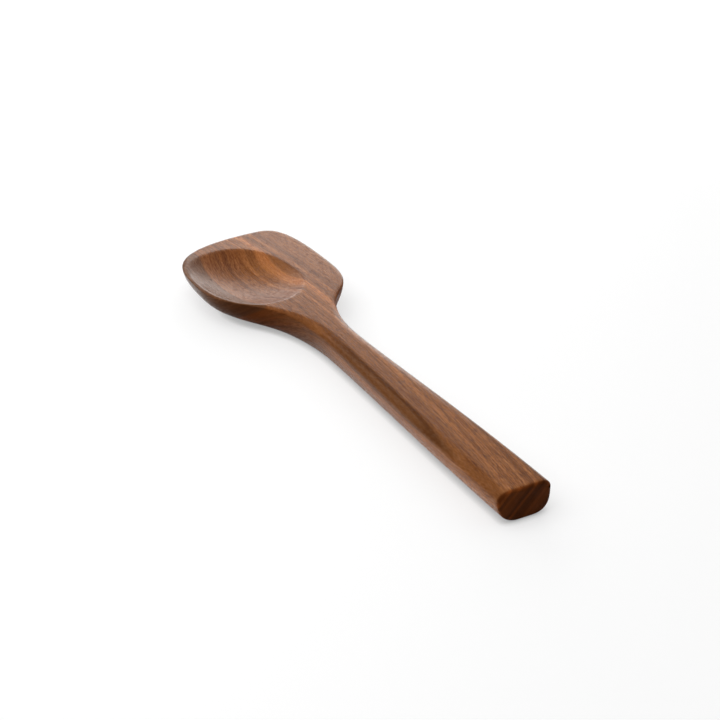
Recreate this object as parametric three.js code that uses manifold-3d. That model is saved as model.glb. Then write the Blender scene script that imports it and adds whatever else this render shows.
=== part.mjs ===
// A spoon spatula carved from one piece of walnut: a rounded handle, a slim neck
// and a wide head with an off-centre bowl, a flat land beside it and a thin front edge.
// It lies on its back: +Y runs from the butt to the tip, +Z is up, lengths are in millimetres.
import * as THREE from 'three';
import { mergeVertices } from 'three/addons/utils/BufferGeometryUtils.js';
import Module from 'manifold-3d';

// Handle
const stockThickness = 16.8;
const handleLength = 170; // butt to the narrowest part of the neck
const buttWidth = 28.6;
const neckWidth = 17.9;
const neckShift = 0.25; // the neck sits this far left of the handle's centre line
const footWidth = 6; // flat strip along the underside, on which the part lies
const buttEase = 1.6; // rounding around the end face

// Head
const headLength = 135; // neck to tip
const leftReach = 42.6; // handle's centre line to the head's left edge
const leftWidestFromTip = 51;
const rightReach = 35.2;
const rightWidestFromTip = 57.5;
const foremostPoint = 16.5; // where the front edge is foremost, right of the centre line
const keelShift = 7; // the keel bends this far left, towards the bowl
const keelEndFromTip = 69; // from here the underside sweeps up to the front edge

// Bowl
const bowlWidth = 53.8;
const bowlLength = 72.7;
const bowlRim = 1.7; // wood between the bowl and the head's left edge, before the bowl's turn
const bowlFrontRim = 14.8; // wood between the bowl and the front edge
const bowlDepth = 6;
const bowlTurn = THREE.MathUtils.degToRad(7.1); // its far end leans left
const bowlSquareness = 2.3; // 2 is an ellipse
const bowlSteepness = 2.3; // higher is a flatter floor and a steeper wall

// Rounding of the top edge: how far in and how far down it reaches
const handleEdge = { inset: 5.8, drop: 3.9 };
const headEdge = { inset: 2.4, drop: 0.95 };
const edgeRun = 50; // over this length beyond the neck the handle's rounding turns into the head's

// Fullness of the underside: 2 is elliptic, less is leaner, more is squarer
const handleFullness = { left: 2.05, right: 3 };
const headFullness = { left: 2.25, front: 1.45, right: 1.7 };

// How long each curve of the outline keeps its starting and its ending direction, as a share of its run
const handleHold = { start: 0.45, end: 0.22 };
const leftHold = { flareStart: 0.68, flareEnd: 0.45, cornerStart: 0.5, cornerEnd: 1 };
const rightHold = { flareStart: 0.69, flareEnd: 0.55, cornerStart: 0.85, cornerEnd: 0.71 };

// Mesh steps
const easeSteps = 2;
const handleSteps = 20;
const neckSteps = 18;
const frontSteps = 24;
const edgeSteps = 3;
const undersideSteps = 8;
const bowlSides = 56;
const bowlRings = 8;

const length = handleLength + headLength;
const leftWidestY = length - leftWidestFromTip;
const rightWidestY = length - rightWidestFromTip;
const keelEndY = length - keelEndFromTip;

const quarterTurn = Math.PI / 2;
const mix = (from, to, share) => from + (to - from) * share;
const sharesBelowOne = (steps) => Array.from({ length: steps }, (_, i) => i / steps);
const smoothShare = (value) => THREE.MathUtils.smoothstep(value, 0, 1);

// One side of the plan outline: handle, flare and corner, as curves from the butt to the tip.
function sideCurves(sign, reach, widestY, hold) {
  const butt = sign * buttWidth / 2;
  const neck = sign * neckWidth / 2 - neckShift;
  const widest = sign * reach;
  const flareRun = widestY - handleLength;
  const cornerRun = length - widestY;
  const point = (x, y) => new THREE.Vector2(x, y);
  const curve = (...points) => new THREE.CubicBezierCurve(...points);
  return [
    curve(
      point(butt, 0),
      point(butt, handleLength * handleHold.start),
      point(neck, handleLength * (1 - handleHold.end)),
      point(neck, handleLength),
    ),
    curve(
      point(neck, handleLength),
      point(neck, handleLength + hold.flareStart * flareRun),
      point(widest, widestY - hold.flareEnd * flareRun),
      point(widest, widestY),
    ),
    curve(
      point(widest, widestY),
      point(widest, widestY + hold.cornerStart * cornerRun),
      point(mix(foremostPoint, widest, hold.cornerEnd), length),
      point(foremostPoint, length),
    ),
  ];
}

const leftCurves = sideCurves(-1, leftReach, leftWidestY, leftHold);
const rightCurves = sideCurves(1, rightReach, rightWidestY, rightHold);

// The share of a curve at which it reaches a given y.
function shareAtY(curve, y) {
  const halvings = 40;
  let low = 0;
  let high = 1;
  for (let i = 0; i < halvings; i += 1) {
    const middle = (low + high) / 2;
    if (curve.getPoint(middle).y < y) {
      low = middle;
    } else {
      high = middle;
    }
  }
  return high;
}

function edgeAtY(curves, y) {
  const curve = curves.find((candidate) => y <= candidate.v3.y);
  return new THREE.Vector2(curve.getPoint(shareAtY(curve, y)).x, y);
}

// Points of the outline beyond a given y, up to the tip.
function edgesBeyondY(curves, y) {
  const first = curves.findIndex((candidate) => y < candidate.v3.y);
  const start = first + shareAtY(curves[first], y);
  return sharesBelowOne(frontSteps).map((share) => {
    const place = mix(curves.length, start, share);
    const index = Math.min(Math.floor(place), curves.length - 1);
    return curves[index].getPoint(place - index);
  }).reverse();
}

// How much of the head's form a place along the part has: none at the neck, all at the widest part.
const headShare = (y) => smoothShare((y - handleLength) / (leftWidestY - handleLength));

const edgeShare = (y) => smoothShare((y - handleLength) / edgeRun);

function keelAtY(y) {
  return new THREE.Vector2(-keelShift * smoothShare((y - handleLength) / (keelEndY - handleLength)), y);
}

// A half section from the middle of the top, out around the edge and back under to the keel.
// Near the butt it shrinks towards its centre, which eases the end face's edge.
function halfSection(keel, edge, fullness) {
  const share = edgeShare(keel.y);
  const reach = keel.distanceTo(edge);
  const inset = Math.min(mix(handleEdge.inset, headEdge.inset, share), reach);
  const drop = mix(handleEdge.drop, headEdge.drop, share);
  const edgeHeight = stockThickness - drop;
  const foot = Math.min(footWidth / 2, reach);
  const rounding = sharesBelowOne(edgeSteps).map((turn) => {
    const angle = quarterTurn * turn;
    return [reach - inset + inset * Math.sin(angle), edgeHeight + drop * Math.cos(angle)];
  });
  const underside = sharesBelowOne(undersideSteps).map((turn) => {
    const angle = quarterTurn * turn;
    const out = Math.sin(angle) ** (2 / fullness);
    const down = Math.cos(angle) ** (2 / fullness);
    return [mix(foot, reach, out), mix(edgeHeight, 0, down)];
  });
  const profile = [[0, stockThickness], ...rounding, [reach, edgeHeight], ...underside.reverse(), [0, 0]];

  const easeShare = Math.max(1 - keel.y / buttEase, 0);
  const easeIn = buttEase * (1 - Math.sqrt(1 - easeShare ** 2));
  const outward = edge.clone().sub(keel).normalize();
  const middle = stockThickness / 2;
  return profile.map(([out, height]) => {
    const place = outward.clone().multiplyScalar(out * (1 - easeIn / reach)).add(keel);
    return new THREE.Vector3(place.x, place.y, mix(height, middle, easeIn / middle));
  });
}

// Half sections in order: up the left side, round the front and down the right side.
function bodySections() {
  const stations = [
    ...sharesBelowOne(easeSteps).map((share) => buttEase * (1 - Math.cos(quarterTurn * share))),
    ...sharesBelowOne(handleSteps).map((share) => mix(buttEase, handleLength, share)),
    ...sharesBelowOne(neckSteps).map((share) => mix(handleLength, keelEndY, share)),
    keelEndY,
  ];
  const sideFullness = (side, y) => mix(handleFullness[side], headFullness[side], headShare(y));
  const sideSections = (curves, side) => stations.map((y) => (
    halfSection(keelAtY(y), edgeAtY(curves, y), sideFullness(side, y))
  ));
  const frontSections = (curves, side) => {
    const startFullness = sideFullness(side, keelEndY);
    return edgesBeyondY(curves, keelEndY).map((edge, i) => {
      const frontShare = smoothShare((i + 1) / frontSteps);
      return halfSection(keelAtY(keelEndY), edge, mix(startFullness, headFullness.front, frontShare));
    });
  };
  const left = sideSections(leftCurves, 'left');
  const right = sideSections(rightCurves, 'right');
  const frontLeft = frontSections(leftCurves, 'left');
  const frontRight = frontSections(rightCurves, 'right');
  return [...left, ...frontLeft, ...frontRight.reverse().slice(1), ...right.reverse()];
}

// Turns triangles of points into a geometry with shared vertices and no empty triangles.
function geometryOf(triangles) {
  const tolerance = 1e-4;
  const merged = mergeVertices(new THREE.BufferGeometry().setFromPoints(triangles.flat()), tolerance);
  const kept = [];
  const index = merged.index.array;
  for (let i = 0; i < index.length; i += 3) {
    const [a, b, c] = index.slice(i, i + 3);
    if (a !== b && b !== c && c !== a) kept.push(a, b, c);
  }
  merged.setIndex(kept);
  return merged;
}

function blankGeometry() {
  const sections = bodySections();
  const triangles = [];
  for (let i = 0; i + 1 < sections.length; i += 1) {
    const here = sections[i];
    const next = sections[i + 1];
    for (let j = 0; j + 1 < here.length; j += 1) {
      triangles.push([here[j], next[j], here[j + 1]], [next[j], next[j + 1], here[j + 1]]);
    }
  }
  const buttLeft = sections[0];
  const buttRight = sections.at(-1);
  for (let j = 1; j + 1 < buttLeft.length; j += 1) {
    triangles.push([buttLeft[0], buttLeft[j], buttLeft[j + 1]]);
    triangles.push([buttRight[0], buttRight[j + 1], buttRight[j]]);
  }
  return geometryOf(triangles);
}

// One level ring of the bowl's hollow, an oval at a share of its full size.
function bowlRing(share) {
  const centreX = bowlRim + bowlWidth / 2 - leftReach;
  const centreY = length - bowlFrontRim - bowlLength / 2;
  const height = stockThickness - bowlDepth * (1 - share ** bowlSteepness);
  const oval = (value, size) => Math.sign(value) * Math.abs(value) ** (2 / bowlSquareness) * (size / 2);
  return sharesBelowOne(bowlSides).map((side) => {
    const angle = 2 * Math.PI * side;
    const place = new THREE.Vector2(oval(Math.cos(angle), bowlWidth), oval(Math.sin(angle), bowlLength));
    place.multiplyScalar(share).rotateAround(new THREE.Vector2(), bowlTurn);
    return new THREE.Vector3(centreX + place.x, centreY + place.y, height);
  });
}

// The hollow as a solid, carried on above the top so that it cuts clean through the rim.
function bowlGeometry() {
  const overshoot = 1.15;
  const rings = [...sharesBelowOne(bowlRings), 1].map((share) => bowlRing(overshoot * share));
  const lid = rings.at(-1);
  const lidCentre = rings[0][0].clone().setZ(lid[0].z);
  const triangles = [];
  for (let k = 0; k < bowlSides; k += 1) {
    const next = (k + 1) % bowlSides;
    for (let i = 0; i < bowlRings; i += 1) {
      const [inner, outer] = [rings[i], rings[i + 1]];
      triangles.push([inner[k], outer[next], outer[k]], [inner[k], inner[next], outer[next]]);
    }
    triangles.push([lidCentre, lid[k], lid[next]]);
  }
  return geometryOf(triangles);
}

const wasm = await Module();
wasm.setup();

function solidOf(geometry) {
  const vertProperties = new Float32Array(geometry.attributes.position.array);
  const triVerts = new Uint32Array(geometry.index.array);
  return new wasm.Manifold(new wasm.Mesh({ numProp: 3, vertProperties, triVerts }));
}

function carvedGeometry() {
  const { vertProperties, triVerts } = solidOf(blankGeometry()).subtract(solidOf(bowlGeometry())).getMesh();
  const geometry = new THREE.BufferGeometry();
  geometry.setAttribute('position', new THREE.BufferAttribute(new Float32Array(vertProperties), 3));
  geometry.setIndex(new THREE.BufferAttribute(new Uint32Array(triVerts), 1));
  geometry.computeVertexNormals();
  return geometry;
}

const walnut = new THREE.MeshStandardMaterial({ color: 0x7a5238, roughness: 0.5, metalness: 0 });
const carvedBody = new THREE.Mesh(carvedGeometry(), walnut);
carvedBody.name = 'carved_body';
carvedBody.position.set((leftReach - rightReach) / 2, -length / 2, 0);

const spoonSpatula = new THREE.Group();
spoonSpatula.add(carvedBody);

export default spoonSpatula;
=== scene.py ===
import math

import bmesh
import bpy
import numpy as np
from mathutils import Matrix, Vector


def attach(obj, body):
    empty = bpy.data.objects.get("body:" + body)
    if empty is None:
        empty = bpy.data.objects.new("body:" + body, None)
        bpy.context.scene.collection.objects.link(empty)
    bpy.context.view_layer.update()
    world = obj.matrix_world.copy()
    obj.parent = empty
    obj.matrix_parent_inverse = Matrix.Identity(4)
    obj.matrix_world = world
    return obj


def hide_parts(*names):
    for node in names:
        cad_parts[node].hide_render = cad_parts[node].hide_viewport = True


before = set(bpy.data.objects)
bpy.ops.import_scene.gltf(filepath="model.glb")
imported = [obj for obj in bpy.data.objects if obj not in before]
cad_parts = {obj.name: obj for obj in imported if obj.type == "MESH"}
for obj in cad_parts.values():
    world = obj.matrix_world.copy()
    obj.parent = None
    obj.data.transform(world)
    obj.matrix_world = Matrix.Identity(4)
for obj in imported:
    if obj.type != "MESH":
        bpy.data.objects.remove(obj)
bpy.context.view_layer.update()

# A spoon spatula carved from one piece of walnut, lying on its back on a white table.
# Its shape is worked out in millimetres in the carver's frame: x from the handle's centre line,
# y from the butt to the tip, z up from the table.

MILLIMETRE = 0.001

# Handle
STOCK_THICKNESS = 16.8
HANDLE_LENGTH = 170.0
BUTT_WIDTH = 28.6
NECK_WIDTH = 17.9
NECK_SHIFT = 0.25
FOOT_WIDTH = 6.0
BUTT_EASE = 1.6

# Head
HEAD_LENGTH = 135.0
LEFT_REACH = 42.6
LEFT_WIDEST_FROM_TIP = 51.0
RIGHT_REACH = 35.2
RIGHT_WIDEST_FROM_TIP = 57.5
FOREMOST_POINT = 16.5
KEEL_SHIFT = 7.0
KEEL_END_FROM_TIP = 69.0

# Bowl
BOWL_WIDTH = 53.8
BOWL_LENGTH = 72.7
BOWL_RIM = 1.7
BOWL_FRONT_RIM = 14.8
BOWL_DEPTH = 6.0
BOWL_TURN = math.radians(7.1)
BOWL_SQUARENESS = 2.3
BOWL_STEEPNESS = 2.3
RIM_EASE = 0.6

# Rounding of the top edge: how far in and how far down it reaches
HANDLE_EDGE = {"inset": 5.8, "drop": 3.9}
HEAD_EDGE = {"inset": 2.4, "drop": 0.95}
EDGE_RUN = 50.0

# Fullness of the underside: 2 is elliptic, less is leaner, more is squarer
HANDLE_FULLNESS = {"left": 2.05, "right": 3.0}
HEAD_FULLNESS = {"left": 2.25, "front": 1.45, "right": 1.7}

# How long each curve of the outline keeps its first and its last direction, as a share of its run
HANDLE_HOLD = {"start": 0.45, "end": 0.22}
LEFT_HOLD = {"flare_start": 0.68, "flare_end": 0.45, "corner_start": 0.5, "corner_end": 1.0}
RIGHT_HOLD = {"flare_start": 0.69, "flare_end": 0.55, "corner_start": 0.85, "corner_end": 0.71}

# Mesh steps
EASE_STEPS = 6
HANDLE_STEP = 2.0
NECK_STEP = 1.0
FRONT_STEP = 1.2
UNDERSIDE_STEPS = 19
BOWL_STEPS = 34
LAND_STEPS = 26
CURVE_STEPS = 600
OUTLINE_STRIDE = 4
HEAD_PATCH_START = 200.0
WELD_DISTANCE = 0.002

# The end face is flat where it faces this squarely out of the butt, within this depth
END_FACE_FACING = -0.999
END_FACE_DEPTH = 0.001

# Places that follow from the sizes above
LENGTH = HANDLE_LENGTH + HEAD_LENGTH
LEFT_WIDEST_Y = LENGTH - LEFT_WIDEST_FROM_TIP
RIGHT_WIDEST_Y = LENGTH - RIGHT_WIDEST_FROM_TIP
KEEL_END_Y = LENGTH - KEEL_END_FROM_TIP
BOWL_CENTRE = np.array([
    BOWL_RIM + BOWL_WIDTH / 2 - LEFT_REACH,
    LENGTH - BOWL_FRONT_RIM - BOWL_LENGTH / 2,
])
ORIGIN_SHIFT = np.array([(LEFT_REACH - RIGHT_REACH) / 2, -LENGTH / 2, 0.0])


def srgb(*levels):
    shares = [level / 255 for level in levels]
    return tuple(s / 12.92 if s <= 0.04045 else ((s + 0.055) / 1.055) ** 2.4 for s in shares) + (1.0,)


# Tones of the wood
GREY_BROWN = srgb(112, 75, 50)
DARK_BROWN = srgb(118, 72, 39)
BROWN = srgb(130, 81, 45)
TAN = srgb(138, 87, 49)
ORANGE = srgb(150, 95, 53)

# Bands of growth rings: where each tone shows, in millimetres across the rings
RING_TONES = [
    (-40.0, GREY_BROWN),
    (-20.2, GREY_BROWN),
    (-19.0, TAN),
    (-15.0, TAN),
    (-13.0, BROWN),
    (-8.0, BROWN),
    (-6.8, TAN),
    (-5.8, DARK_BROWN),
    (-4.2, DARK_BROWN),
    (-3.0, BROWN),
    (3.0, BROWN),
    (4.6, ORANGE),
    (5.8, ORANGE),
    (6.8, BROWN),
    (8.4, TAN),
    (10.2, ORANGE),
    (12.0, TAN),
    (15.3, TAN),
    (17.0, DARK_BROWN),
    (17.9, BROWN),
    (19.5, ORANGE),
    (20.8, BROWN),
    (24.0, DARK_BROWN),
    (27.0, TAN),
    (30.0, BROWN),
    (32.0, TAN),
    (40.0, BROWN),
]

# The rings slope through the stock, bow along it, and wander and ripple by up to about a millimetre
RING_SLOPE = 1.0
RING_BOW = 0.00045
RING_BOW_CENTRE = 169.0
RING_WANDER = 1.2
RING_RIPPLE = 0.6

# A pale layer in the head and neck and a dark vein in the handle: where each fades in and out across
# the rings, how much of it there is at two places along the stock, and its shade
PALE_LAYER = {
    "fade_in": (9.5, 12.8),
    "fade_out": (13.1, 13.9),
    "soft": False,
    "along": (110.0, 190.0),
    "shares": (0.0, 1.0),
    "shade": 1.7,
}
DARK_VEIN = {
    "fade_in": (-12.5, -10.5),
    "fade_out": (-5.2, -3.6),
    "soft": True,
    "along": (140.0, 180.0),
    "shares": (1.0, 0.0),
    "shade": 0.66,
}

# Grain: how fine it is per millimetre across the rings, along the stock and through its depth
GRAIN = {
    "wander": {"scale": (0.05, 0.012, 0.05)},
    "ripple": {"scale": (0.3, 0.008, 0.1)},
    "band": {"scale": (0.3, 0.003, 0.02), "detail": 1.0},
    "line": {"scale": (0.6, 0.003, 0.02), "detail": 3.0, "roughness": 0.6},
    "fibre": {"scale": (1.2, 0.012, 0.3), "detail": 2.0, "roughness": 0.7},
    "streak": {"scale": (1.8, 0.07, 0.25), "detail": 1.0, "roughness": 0.6},
    "pore": {"scale": (2.0, 0.28, 1.0), "detail": 0.0},
    "fleck": {"scale": (2.0, 0.4, 2.0), "detail": 1.0},
}

# What the grain does: two levels of it, and the shade or the roughness of the wood at each
SHADE = {
    "line": (0.25, 0.75, 0.78, 1.22),
    "fibre": (0.25, 0.75, 0.86, 1.14),
    "streak": (0.42, 0.66, 1.1, 0.74),
    "pore": (0.5, 0.66, 1.04, 0.6),
    "fleck": (0.3, 0.7, 0.84, 1.16),
}
END_BAND_SHADE = (0.3, 0.7, 0.8, 1.6)
ROUGHNESS = {
    "fibre": (0.25, 0.75, 0.2, 0.26),
    "pore": (0.5, 0.66, 0.0, 0.15),
    "end_grain": (0.0, 1.0, 0.0, 0.3),
}

# Darker grain is also deeper in colour: how strongly shade acts on red, green and blue
SHADE_POWERS = (0.85, 1.1, 1.4)

# Streaks and pores fade where the surface turns from crossing the rings to running along them
CROSSING_FADE = (0.78, 0.96)

# End grain shows where the surface turns to face along the stock, and is darker; from a slight turn on, this
# darkening is also painted shade on the bowl's walls
END_GRAIN_AND_SHADE_TURN = (0.05, 0.7)
END_GRAIN_GAMMA = 1.4

# Oiled finish
FINISH_IOR = 1.2
SHEEN_TINT = (0.55, 0.3, 0.15, 1.0)
RELIEF_STRENGTH = 0.6
RELIEF_HEIGHT = 0.08

# Table, in metres: how bright it is for light that bounces off it, in gloss and to the eye
FLOOR_SIZE = 6.0
FLOOR_GAP = 0.05 * MILLIMETRE
BOUNCE_TONE = 0.22
GLOSS_TONE = 1.45
SEEN_TONE = 0.41

# The table's own white glow, from near the part to far off, and the painted contact shadow that darkens this
# glow where the part comes close
FLOOR_WHITE = (0.32, 0.7, 0.6, 1.0)
PAINTED_SHADOW_REACH = 4 * MILLIMETRE
PAINTED_SHADOW_DEPTH = (0.3, 0.95, 0.6, 1.0)
PAINTED_SHADOW_SAMPLES = 8

# Room: a low white backdrop that gloss shows, and a soft glow that is brighter on that side
WHITE = (1.0, 1.0, 1.0, 1.0)
BACKDROP_DIRECTION = (0.485, 0.875, 0.0)
BACKDROP_SPREAD = (0.0, 0.7, 0.0, 0.4)
BACKDROP_HEIGHT = (0.2, 0.45)
ROOM_GLOW = (-0.6, 0.6, 0.08, 0.45)

# Lamps, in metres and watts
TABLE_CENTRE = (0.0, 0.0, 0.0)
HEAD_CENTRE = (0.0, 0.08, 0.0)
HANDLE_CENTRE = (0.0, -0.1, 0.0)
SOFTBOX = (0.9, 0.9)
PANEL = (0.5, 0.25)
LOW_PANEL = (0.35, 0.25)
LOW_BACK = (0.259, 0.487, 0.133)
LEFT_OF_HANDLE = (-0.029, -0.065, 0.001)
ABOVE_LEFT_OF_HANDLE = (-0.029, -0.065, 1.0)
HANDLE_STRIP = (0.03, 0.17)
LAMPS = [
    {"name": "left_softbox", "place": (-0.38, 0.02, 0.68), "target": TABLE_CENTRE, "size": SOFTBOX,
     "power": 5.1, "in_gloss": False},
    {"name": "right_softbox", "place": (0.4, -0.05, 0.65), "target": TABLE_CENTRE, "size": SOFTBOX,
     "power": 0.75, "in_gloss": False},
    {"name": "back_panel_left", "place": (-0.084, 0.818, 0.409), "target": HEAD_CENTRE, "size": PANEL,
     "power": 1.2, "in_gloss": True},
    {"name": "back_panel", "place": (0.389, 0.722, 0.409), "target": HEAD_CENTRE, "size": PANEL,
     "power": 0.2, "in_gloss": True},
    {"name": "back_panel_right", "place": (0.47, 0.46, 0.47), "target": HANDLE_CENTRE, "size": PANEL,
     "power": 0.3, "in_gloss": True},
    {"name": "low_back_panel", "place": LOW_BACK, "target": HEAD_CENTRE, "size": LOW_PANEL,
     "power": 0.8, "in_gloss": True},
    {"name": "low_back_fill", "place": LOW_BACK, "target": HEAD_CENTRE, "size": LOW_PANEL,
     "power": 0.9, "in_gloss": False},
    {"name": "table_bounce", "place": LEFT_OF_HANDLE, "target": ABOVE_LEFT_OF_HANDLE, "size": HANDLE_STRIP,
     "power": 0.029, "in_gloss": False},
]

# Camera: place and target in metres, sensor and lens in millimetres
CAMERA_PLACE = (-0.38689, -0.70511, 0.44230)
CAMERA_TARGET = (0.01239, 0.01355, 0.0)
SENSOR_WIDTH = 36.0
LENS = 90.0


def mix(start, end, share):
    return start + (end - start) * share


def smooth_share(value):
    value = np.clip(value, 0.0, 1.0)
    return value * value * (3.0 - 2.0 * value)


def even_stations(start, end, step):
    return np.linspace(start, end, round((end - start) / step) + 1)


def cubic_curve(*corners):
    share = np.linspace(0.0, 1.0, CURVE_STEPS + 1)[:, None]
    rest = 1.0 - share
    a, b, c, d = (np.array(corner) for corner in corners)
    return a * rest**3 + 3 * b * rest**2 * share + 3 * c * rest * share**2 + d * share**3


# One side of the plan outline, from the butt to the tip
def side_outline(sign, reach, widest_y, hold):
    butt = sign * BUTT_WIDTH / 2
    neck = sign * NECK_WIDTH / 2 - NECK_SHIFT
    widest = sign * reach
    flare_run = widest_y - HANDLE_LENGTH
    corner_run = LENGTH - widest_y
    handle = cubic_curve(
        (butt, 0.0),
        (butt, HANDLE_LENGTH * HANDLE_HOLD["start"]),
        (neck, HANDLE_LENGTH * (1 - HANDLE_HOLD["end"])),
        (neck, HANDLE_LENGTH),
    )
    flare = cubic_curve(
        (neck, HANDLE_LENGTH),
        (neck, HANDLE_LENGTH + hold["flare_start"] * flare_run),
        (widest, widest_y - hold["flare_end"] * flare_run),
        (widest, widest_y),
    )
    corner = cubic_curve(
        (widest, widest_y),
        (widest, widest_y + hold["corner_start"] * corner_run),
        (mix(FOREMOST_POINT, widest, hold["corner_end"]), LENGTH),
        (FOREMOST_POINT, LENGTH),
    )
    return np.concatenate([handle, flare[1:], corner[1:]])


LEFT_OUTLINE = side_outline(-1, LEFT_REACH, LEFT_WIDEST_Y, LEFT_HOLD)
RIGHT_OUTLINE = side_outline(1, RIGHT_REACH, RIGHT_WIDEST_Y, RIGHT_HOLD)


def edge_x(outline, y):
    return np.interp(y, outline[:, 1], outline[:, 0])


def edge_points(outline, stations):
    return np.column_stack([edge_x(outline, stations), stations])


# Evenly spaced points of one side beyond the keel's end, up to the tip
def front_edge(outline):
    start = np.array([[edge_x(outline, KEEL_END_Y), KEEL_END_Y]])
    run = np.concatenate([start, outline[outline[:, 1] > KEEL_END_Y]])
    along = np.concatenate([[0.0], np.cumsum(np.linalg.norm(np.diff(run, axis=0), axis=1))])
    places = np.linspace(0.0, along[-1], round(along[-1] / FRONT_STEP) + 1)
    return np.stack([np.interp(places, along, run[:, 0]), np.interp(places, along, run[:, 1])], axis=1)


# How much of the head's form a place has: none at the neck, all at the widest part
def head_share(y):
    y = np.minimum(y, KEEL_END_Y)
    return smooth_share((y - HANDLE_LENGTH) / (LEFT_WIDEST_Y - HANDLE_LENGTH))


def side_fullness(side, y):
    return mix(HANDLE_FULLNESS[side], HEAD_FULLNESS[side], head_share(y))


def edge_form(name, y):
    return mix(HANDLE_EDGE[name], HEAD_EDGE[name], smooth_share((y - HANDLE_LENGTH) / EDGE_RUN))


def keel_point(y):
    share = smooth_share((y - HANDLE_LENGTH) / (KEEL_END_Y - HANDLE_LENGTH))
    return np.stack([-KEEL_SHIFT * share, np.minimum(y, KEEL_END_Y)], axis=-1)


def distance_to_outline(points):
    line = np.concatenate([LEFT_OUTLINE, RIGHT_OUTLINE[::-1]])[::OUTLINE_STRIDE]
    start = line[:-1]
    run = line[1:] - start
    offset = points[:, None, :] - start
    share = np.clip((offset * run).sum(axis=2) / (run**2).sum(axis=1), 0.0, 1.0)
    gap = offset - run * share[:, :, None]
    return np.sqrt((gap**2).sum(axis=2).min(axis=1))


# How far out from the bowl's centre a place is, with 1 at the rim
def bowl_share(points):
    across, along = (points - BOWL_CENTRE).T
    cos, sin = math.cos(BOWL_TURN), math.sin(BOWL_TURN)
    wide = np.abs(across * cos + along * sin) / (BOWL_WIDTH / 2)
    long = np.abs(along * cos - across * sin) / (BOWL_LENGTH / 2)
    return (wide**BOWL_SQUARENESS + long**BOWL_SQUARENESS) ** (1 / BOWL_SQUARENESS)


# Height of the top: flat, rounded down at the edge, and hollowed by the bowl with a soft rim
def top_points(points):
    y = points[:, 1]
    off_edge = np.clip(1.0 - distance_to_outline(points) / edge_form("inset", y), 0.0, 1.0)
    blank = STOCK_THICKNESS - edge_form("drop", y) * (1.0 - np.sqrt(1.0 - off_edge**2))
    hollow = STOCK_THICKNESS - BOWL_DEPTH * (1.0 - bowl_share(points) ** BOWL_STEEPNESS)
    share = np.clip(0.5 + 0.5 * (hollow - blank) / RIM_EASE, 0.0, 1.0)
    height = mix(hollow, blank, share) - RIM_EASE * share * (1.0 - share)
    return np.column_stack([points, height])


# Underside of one half section, from the edge round to the keel
def underside_points(edge, fullness):
    keel = keel_point(edge[1])
    outward = edge - keel
    reach = np.linalg.norm(outward)
    edge_height = STOCK_THICKNESS - edge_form("drop", edge[1])
    foot = min(FOOT_WIDTH / 2, reach)
    angle = np.linspace(math.pi / 2, 0.0, UNDERSIDE_STEPS + 1)
    out = mix(foot, reach, np.sin(angle) ** (2 / fullness))
    height = mix(edge_height, 0.0, np.maximum(np.cos(angle), 0.0) ** (2 / fullness))
    height[0] = edge_height
    plan = keel + outward / reach * np.append(out, 0.0)[:, None]
    return np.column_stack([plan, np.append(height, 0.0)])


def side_half_sections(outline, side, stations):
    return [underside_points(edge, side_fullness(side, edge[1])) for edge in edge_points(outline, stations)]


def front_half_sections(edge, side):
    start = side_fullness(side, KEEL_END_Y)
    shares = smooth_share(np.arange(len(edge)) / (len(edge) - 1))
    return [
        underside_points(point, mix(start, HEAD_FULLNESS["front"], share))
        for point, share in zip(edge, shares)
    ]


# Near the butt each section shrinks towards its middle, which eases the end face's edge
def ease_butt(points):
    y = points[:, 1]
    share = np.maximum(1.0 - y / BUTT_EASE, 0.0)
    ease_in = BUTT_EASE * (1.0 - np.sqrt(1.0 - share**2))
    eased = points.copy()
    eased[:, 0] *= 1.0 - ease_in / edge_x(RIGHT_OUTLINE, y)
    eased[:, 2] = mix(points[:, 2], STOCK_THICKNESS / 2, ease_in / (STOCK_THICKNESS / 2))
    return eased


# Collects sheets of points as faces of one mesh
class Skin:
    def __init__(self):
        self.points = []
        self.faces = []

    def add_sheet(self, rows):
        first = len(self.points)
        width = len(rows[0])
        for row in rows:
            self.points.extend(row)
        for i in range(len(rows) - 1):
            for j in range(width - 1):
                corner = first + i * width + j
                self.faces.append((corner, corner + 1, corner + width + 1, corner + width))

    def to_object(self, name):
        weld = WELD_DISTANCE * MILLIMETRE
        data = bpy.data.meshes.new(name)
        places = (np.array(self.points) + ORIGIN_SHIFT) * MILLIMETRE
        data.from_pydata([tuple(place) for place in places], [], self.faces)
        form = bmesh.new()
        form.from_mesh(data)
        bmesh.ops.remove_doubles(form, verts=form.verts, dist=weld)
        bmesh.ops.dissolve_degenerate(form, edges=form.edges, dist=weld)
        bmesh.ops.recalc_face_normals(form, faces=form.faces)
        for face in form.faces:
            face.smooth = True
        form.to_mesh(data)
        form.free()
        piece = bpy.data.objects.new(name, data)
        bpy.context.scene.collection.objects.link(piece)
        return piece


# Rows of points across the top of the handle, in plan
def handle_rows(stations):
    across = np.linspace(-1.0, 1.0, 2 * (UNDERSIDE_STEPS + 1) + 1)
    across = (1.0 + np.sin(across * math.pi / 2)) / 2
    rows = []
    for y in stations:
        x = mix(edge_x(LEFT_OUTLINE, y), edge_x(RIGHT_OUTLINE, y), across)
        rows.append(np.column_stack([x, np.full(len(across), y)]))
    return rows


# Rays over the top of the head, from the bowl's centre across its rim to the border
def head_rays(border):
    bowl_steps = np.sin(np.linspace(0.0, math.pi / 2, BOWL_STEPS + 1))
    land_steps = (1.0 - np.cos(np.linspace(0.0, math.pi, LAND_STEPS + 1)[1:])) / 2
    rim = BOWL_CENTRE + (border - BOWL_CENTRE) / bowl_share(border)[:, None]
    rays = []
    for rim_point, border_point in zip(rim, border):
        in_bowl = mix(BOWL_CENTRE, rim_point, bowl_steps[:, None])
        on_land = mix(rim_point, border_point, land_steps[:, None])
        rays.append(top_points(np.concatenate([in_bowl, on_land])))
    return rays


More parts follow.
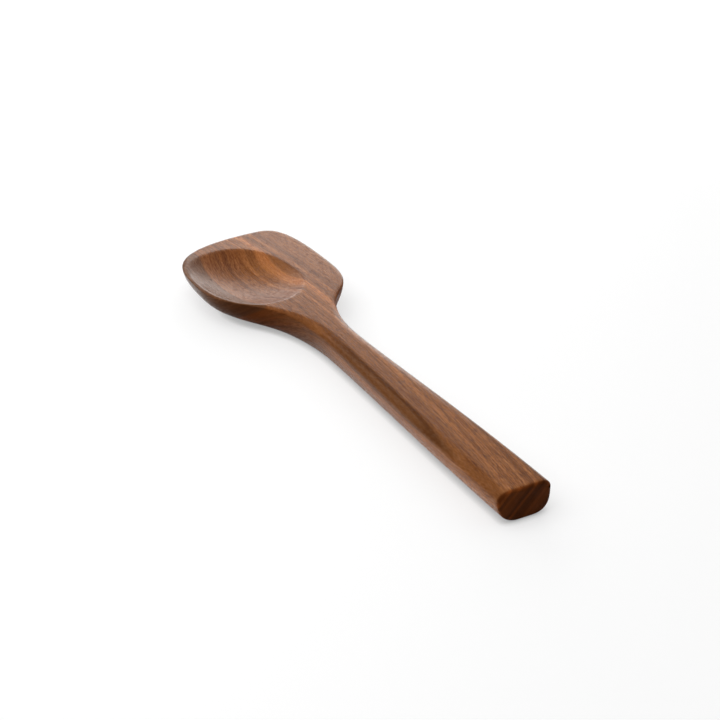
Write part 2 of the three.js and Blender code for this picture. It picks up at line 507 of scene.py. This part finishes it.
def make_body():
    ease_angle = np.linspace(0.0, math.pi / 2, EASE_STEPS + 1)
    handle_stations = np.concatenate([
        BUTT_EASE * (1.0 - np.cos(ease_angle)),
        even_stations(BUTT_EASE, HANDLE_LENGTH, HANDLE_STEP)[1:],
        even_stations(HANDLE_LENGTH, HEAD_PATCH_START, NECK_STEP)[1:],
    ])
    neck_stations = even_stations(HEAD_PATCH_START, KEEL_END_Y, NECK_STEP)[1:]
    stations = np.concatenate([handle_stations, neck_stations])
    left_front = front_edge(LEFT_OUTLINE)
    right_front = front_edge(RIGHT_OUTLINE)
    skin = Skin()

    # Top of the handle and neck
    handle_plan = handle_rows(handle_stations)
    handle_top = [ease_butt(top_points(row)) for row in handle_plan]
    skin.add_sheet(handle_top)

    # Top of the head, whose border runs across the neck and round the outline
    border = np.concatenate([
        handle_plan[-1],
        edge_points(RIGHT_OUTLINE, neck_stations),
        right_front[1:],
        left_front[1:-1][::-1],
        edge_points(LEFT_OUTLINE, neck_stations)[::-1],
        handle_plan[-1][:1],
    ])
    skin.add_sheet(head_rays(border))

    # Underside, up the left side, round the front and down the right side
    left = side_half_sections(LEFT_OUTLINE, "left", stations)
    right = side_half_sections(RIGHT_OUTLINE, "right", stations)
    front_left = front_half_sections(left_front, "left")
    front_right = front_half_sections(right_front, "right")
    around = left + front_left[1:] + front_right[1:-1][::-1] + right[::-1]
    skin.add_sheet([ease_butt(section) for section in around])

    # End face
    butt_under = np.concatenate([left[0], right[0][:-1][::-1]])
    skin.add_sheet([handle_top[0], ease_butt(butt_under)])

    body = skin.to_object("walnut_body")
    end_y = (ORIGIN_SHIFT[1] + END_FACE_DEPTH) * MILLIMETRE
    for face in body.data.polygons:
        if face.normal.y < END_FACE_FACING and face.center.y < end_y:
            face.use_smooth = False
    return body


# Adds nodes to one material or world and links them
class Nodes:
    def __init__(self, tree):
        self.tree = tree
        tree.nodes.clear()

    def add(self, kind, inputs=None, **settings):
        node = self.tree.nodes.new(kind)
        for name, value in settings.items():
            setattr(node, name, value)
        for name, value in (inputs or {}).items():
            self.feed(node.inputs[name], value)
        return node

    def feed(self, socket, value):
        if isinstance(value, bpy.types.NodeSocket):
            self.tree.links.new(value, socket)
        else:
            socket.default_value = value

    def calculate(self, operation, *values):
        return self.add("ShaderNodeMath", dict(enumerate(values)), operation=operation).outputs[0]

    def product(self, first, *others):
        result = first
        for other in others:
            result = self.calculate("MULTIPLY", result, other)
        return result

    def scaled(self, vector, scale):
        node = self.add("ShaderNodeVectorMath", {0: vector, 1: scale}, operation="MULTIPLY")
        return node.outputs["Vector"]

    def dot(self, first, second):
        node = self.add("ShaderNodeVectorMath", {0: first, 1: second}, operation="DOT_PRODUCT")
        return node.outputs["Value"]

    def split(self, vector):
        return self.add("ShaderNodeSeparateXYZ", {"Vector": vector}).outputs

    def join(self, x, y, z):
        return self.add("ShaderNodeCombineXYZ", {"X": x, "Y": y, "Z": z}).outputs["Vector"]

    def noise(self, vector, scale, detail=2.0, roughness=0.5):
        place = self.scaled(vector, scale)
        inputs = {"Vector": place, "Scale": 1.0, "Detail": detail, "Roughness": roughness}
        return self.add("ShaderNodeTexNoise", inputs).outputs["Fac"]

    def remap(self, value, low, high, to_low, to_high, smooth=False):
        inputs = {"Value": value, "From Min": low, "From Max": high, "To Min": to_low, "To Max": to_high}
        kind = "SMOOTHSTEP" if smooth else "LINEAR"
        return self.add("ShaderNodeMapRange", inputs, interpolation_type=kind).outputs["Result"]

    # A number that goes from one value to another as the share goes from 0 to 1
    def between(self, share, start, end):
        return self.remap(share, 0.0, 1.0, start, end)

    # The same for colours; the node keeps its share and colours at these places in its lists
    def mixed_colour(self, share, start, end):
        share_input, start_input, end_input, colour_output = 0, 6, 7, 2
        inputs = {share_input: share, start_input: start, end_input: end}
        return self.add("ShaderNodeMix", inputs, data_type="RGBA").outputs[colour_output]


def new_material(name):
    material = bpy.data.materials.new(name)
    material.use_nodes = True
    return material, Nodes(material.node_tree)


# Colour of the growth rings at a distance across them
def ring_colour(nodes, ring):
    low = RING_TONES[0][0]
    high = RING_TONES[-1][0]
    ramp = nodes.add("ShaderNodeValToRGB", {"Fac": nodes.remap(ring, low, high, 0.0, 1.0)})
    stops = ramp.color_ramp.elements
    stops[0].color = RING_TONES[0][1]
    stops[-1].color = RING_TONES[-1][1]
    for distance, tone in RING_TONES[1:-1]:
        stops.new((distance - low) / (high - low)).color = tone
    return ramp.outputs["Color"]


# Shade of one layer of the wood, which fades in and out across the rings and along the stock
def layer_shade(nodes, ring, along, layer):
    share = nodes.product(
        nodes.remap(ring, *layer["fade_in"], 0.0, 1.0, smooth=layer["soft"]),
        nodes.remap(ring, *layer["fade_out"], 1.0, 0.0, smooth=True),
        nodes.remap(along, *layer["along"], *layer["shares"], smooth=True),
    )
    return nodes.between(share, 1.0, layer["shade"])


def make_walnut():
    material, nodes = new_material("walnut")
    place = nodes.add("ShaderNodeTexCoord").outputs["Object"]
    normal = nodes.add("ShaderNodeNewGeometry").outputs["Normal"]
    sized = nodes.scaled(place, (1 / MILLIMETRE,) * 3)
    shift = {0: sized, 1: tuple(-ORIGIN_SHIFT)}
    carved = nodes.add("ShaderNodeVectorMath", shift, operation="ADD").outputs["Vector"]
    axes = nodes.split(carved)

    # Distance across the growth rings
    depth = nodes.calculate("SUBTRACT", STOCK_THICKNESS, axes["Z"])
    slant = nodes.calculate("DIVIDE", depth, RING_SLOPE)
    from_middle = nodes.calculate("SUBTRACT", axes["Y"], RING_BOW_CENTRE)
    bow = nodes.product(from_middle, from_middle, RING_BOW)
    ring = nodes.calculate("ADD", axes["X"], nodes.calculate("ADD", slant, bow))
    wander = nodes.noise(carved, **GRAIN["wander"])
    ring = nodes.calculate("ADD", ring, nodes.between(wander, -RING_WANDER, RING_WANDER))
    grain = nodes.join(ring, axes["Y"], axes["Z"])
    ripple = nodes.noise(grain, **GRAIN["ripple"])
    ring = nodes.calculate("ADD", ring, nodes.between(ripple, -RING_RIPPLE, RING_RIPPLE))

    banded = ring_colour(nodes, ring)
    for layer in (PALE_LAYER, DARK_VEIN):
        banded = nodes.scaled(banded, layer_shade(nodes, ring, axes["Y"], layer))

    # Growth lines keep to the rings; fibres, streaks and pores run along them; flecks are everywhere
    kinds = ("band", "line", "fibre", "streak", "pore")
    level = {kind: nodes.noise(grain, **GRAIN[kind]) for kind in kinds}
    level["fleck"] = nodes.noise(carved, **GRAIN["fleck"])
    shade_of = {kind: nodes.remap(level[kind], *SHADE[kind]) for kind in SHADE}

    # Streaks and pores fade where the surface runs along the rings
    ring_direction = tuple(Vector((1.0, 0.0, -1.0 / RING_SLOPE)).normalized())
    along_rings = nodes.calculate("ABSOLUTE", nodes.dot(normal, ring_direction))
    crossing = nodes.remap(along_rings, *CROSSING_FADE, 1.0, 0.0)
    fine = nodes.between(crossing, 1.0, nodes.product(shade_of["streak"], shade_of["pore"]))

    shade = nodes.product(shade_of["line"], shade_of["fibre"], fine, shade_of["fleck"])
    deepened = nodes.join(*(nodes.calculate("POWER", shade, power) for power in SHADE_POWERS))
    colour = nodes.scaled(banded, deepened)

    # End grain soaks up more oil, so it is darker and matt; on the bowl's walls, which turn partly towards
    # the butt or tip, this darkening is also painted shade
    facing = nodes.calculate("ABSOLUTE", nodes.split(normal)["Y"])
    end_grain_and_shade_share = nodes.remap(facing, *END_GRAIN_AND_SHADE_TURN, 0.0, 1.0)
    end_grain_and_shade_colour = nodes.add("ShaderNodeGamma", {"Color": banded, "Gamma": END_GRAIN_GAMMA}).outputs["Color"]
    end_grain_and_shade_colour = nodes.scaled(end_grain_and_shade_colour, nodes.remap(level["band"], *END_BAND_SHADE))
    colour = nodes.mixed_colour(end_grain_and_shade_share, colour, end_grain_and_shade_colour)

    roughness = nodes.calculate(
        "ADD",
        nodes.remap(level["fibre"], *ROUGHNESS["fibre"]),
        nodes.remap(level["pore"], *ROUGHNESS["pore"]),
    )
    roughness = nodes.calculate("ADD", roughness, nodes.remap(end_grain_and_shade_share, *ROUGHNESS["end_grain"]))
    relief = nodes.add("ShaderNodeBump", {
        "Height": nodes.calculate("SUBTRACT", level["fibre"], level["pore"]),
        "Strength": RELIEF_STRENGTH,
        "Distance": RELIEF_HEIGHT * MILLIMETRE,
    })
    shader = nodes.add("ShaderNodeBsdfPrincipled", {
        "Base Color": colour,
        "Roughness": roughness,
        "IOR": FINISH_IOR,
        "Specular Tint": SHEEN_TINT,
        "Normal": relief.outputs["Normal"],
    })
    nodes.add("ShaderNodeOutputMaterial", {"Surface": shader.outputs["BSDF"]})
    return material


# White table that keeps the part's shadow, with a painted contact shadow in its glow near the part; it is a
# hair below the part and see-through from underneath
def make_floor():
    half = FLOOR_SIZE / 2
    corners = [(-half, -half, 0.0), (half, -half, 0.0), (half, half, 0.0), (-half, half, 0.0)]
    data = bpy.data.meshes.new("floor")
    data.from_pydata(corners, [], [(0, 1, 2, 3)])
    floor = bpy.data.objects.new("floor", data)
    floor.location.z = -FLOOR_GAP
    bpy.context.scene.collection.objects.link(floor)

    material, nodes = new_material("white_table")
    path = nodes.add("ShaderNodeLightPath").outputs
    seen = nodes.calculate("MAXIMUM", path["Is Camera Ray"], path["Is Transmission Ray"])
    unseen_tone = nodes.between(path["Is Glossy Ray"], BOUNCE_TONE, GLOSS_TONE)
    paper = nodes.add("ShaderNodeBsdfDiffuse", {"Color": nodes.between(seen, unseen_tone, SEEN_TONE)})

    place = nodes.add("ShaderNodeTexCoord").outputs["Object"]
    away = nodes.add("ShaderNodeVectorMath", {0: place}, operation="LENGTH").outputs["Value"]
    # Painted contact shadow: the table's glow darkens where ambient occlusion finds the part close by
    painted_shadow_probe = nodes.add("ShaderNodeAmbientOcclusion", {"Distance": PAINTED_SHADOW_REACH}, samples=PAINTED_SHADOW_SAMPLES)
    white_glow_with_painted_shadow = nodes.product(
        seen,
        nodes.remap(away, *FLOOR_WHITE, smooth=True),
        nodes.remap(painted_shadow_probe.outputs["AO"], *PAINTED_SHADOW_DEPTH),
    )
    glow = nodes.add("ShaderNodeEmission", {"Strength": white_glow_with_painted_shadow})

    upper = nodes.add("ShaderNodeAddShader", {0: paper.outputs[0], 1: glow.outputs[0]})
    clear = nodes.add("ShaderNodeBsdfTransparent")
    backfacing = nodes.add("ShaderNodeNewGeometry").outputs["Backfacing"]
    sides = nodes.add("ShaderNodeMixShader", {0: backfacing, 1: upper.outputs[0], 2: clear.outputs[0]})
    nodes.add("ShaderNodeOutputMaterial", {"Surface": sides.outputs[0]})
    data.materials.append(material)


# A dark room with a low white backdrop behind the part; the camera sees white all round
def make_world():
    world = bpy.data.worlds.new("studio")
    world.use_nodes = True
    bpy.context.scene.world = world
    nodes = Nodes(world.node_tree)
    path = nodes.add("ShaderNodeLightPath").outputs
    direction = nodes.add("ShaderNodeTexCoord").outputs["Generated"]
    behind = nodes.dot(direction, BACKDROP_DIRECTION)
    height = nodes.split(direction)["Z"]

    backdrop = nodes.product(
        nodes.remap(behind, *BACKDROP_SPREAD, smooth=True),
        nodes.remap(height, *BACKDROP_HEIGHT, 1.0, 0.0, smooth=True),
    )
    in_gloss = nodes.product(path["Is Glossy Ray"], backdrop)
    glow = nodes.remap(behind, *ROOM_GLOW, smooth=True)
    elsewhere = nodes.product(nodes.calculate("SUBTRACT", 1.0, path["Is Glossy Ray"]), glow)
    seen = nodes.calculate("MAXIMUM", path["Is Camera Ray"], path["Is Transmission Ray"])
    strength = nodes.calculate("MAXIMUM", elsewhere, nodes.calculate("MAXIMUM", in_gloss, seen))
    sky = nodes.add("ShaderNodeBackground", {"Color": WHITE, "Strength": strength})
    nodes.add("ShaderNodeOutputWorld", {"Surface": sky.outputs[0]})


def turned_towards(place, target):
    return (Vector(target) - Vector(place)).to_track_quat("-Z", "Y")


def make_lamp(name, place, target, size, power, in_gloss):
    lamp = bpy.data.lights.new(name, "AREA")
    lamp.shape = "RECTANGLE"
    lamp.size, lamp.size_y = size
    lamp.energy = power
    holder = bpy.data.objects.new(name, lamp)
    holder.location = place
    holder.rotation_mode = "QUATERNION"
    holder.rotation_quaternion = turned_towards(place, target)
    holder.visible_camera = False
    holder.visible_glossy = in_gloss
    bpy.context.scene.collection.objects.link(holder)


def make_camera():
    data = bpy.data.cameras.new("camera")
    data.sensor_width = SENSOR_WIDTH
    data.lens = LENS
    camera = bpy.data.objects.new("camera", data)
    camera.location = CAMERA_PLACE
    camera.rotation_mode = "QUATERNION"
    camera.rotation_quaternion = turned_towards(CAMERA_PLACE, CAMERA_TARGET)
    bpy.context.scene.collection.objects.link(camera)
    bpy.context.scene.camera = camera


make_camera()
body = make_body()
body.data.materials.append(make_walnut())
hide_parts("carved_body")
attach(body, "root")
make_floor()
make_world()
for lamp in LAMPS:
    make_lamp(**lamp)
bpy.context.scene.view_settings.view_transform = "Standard"
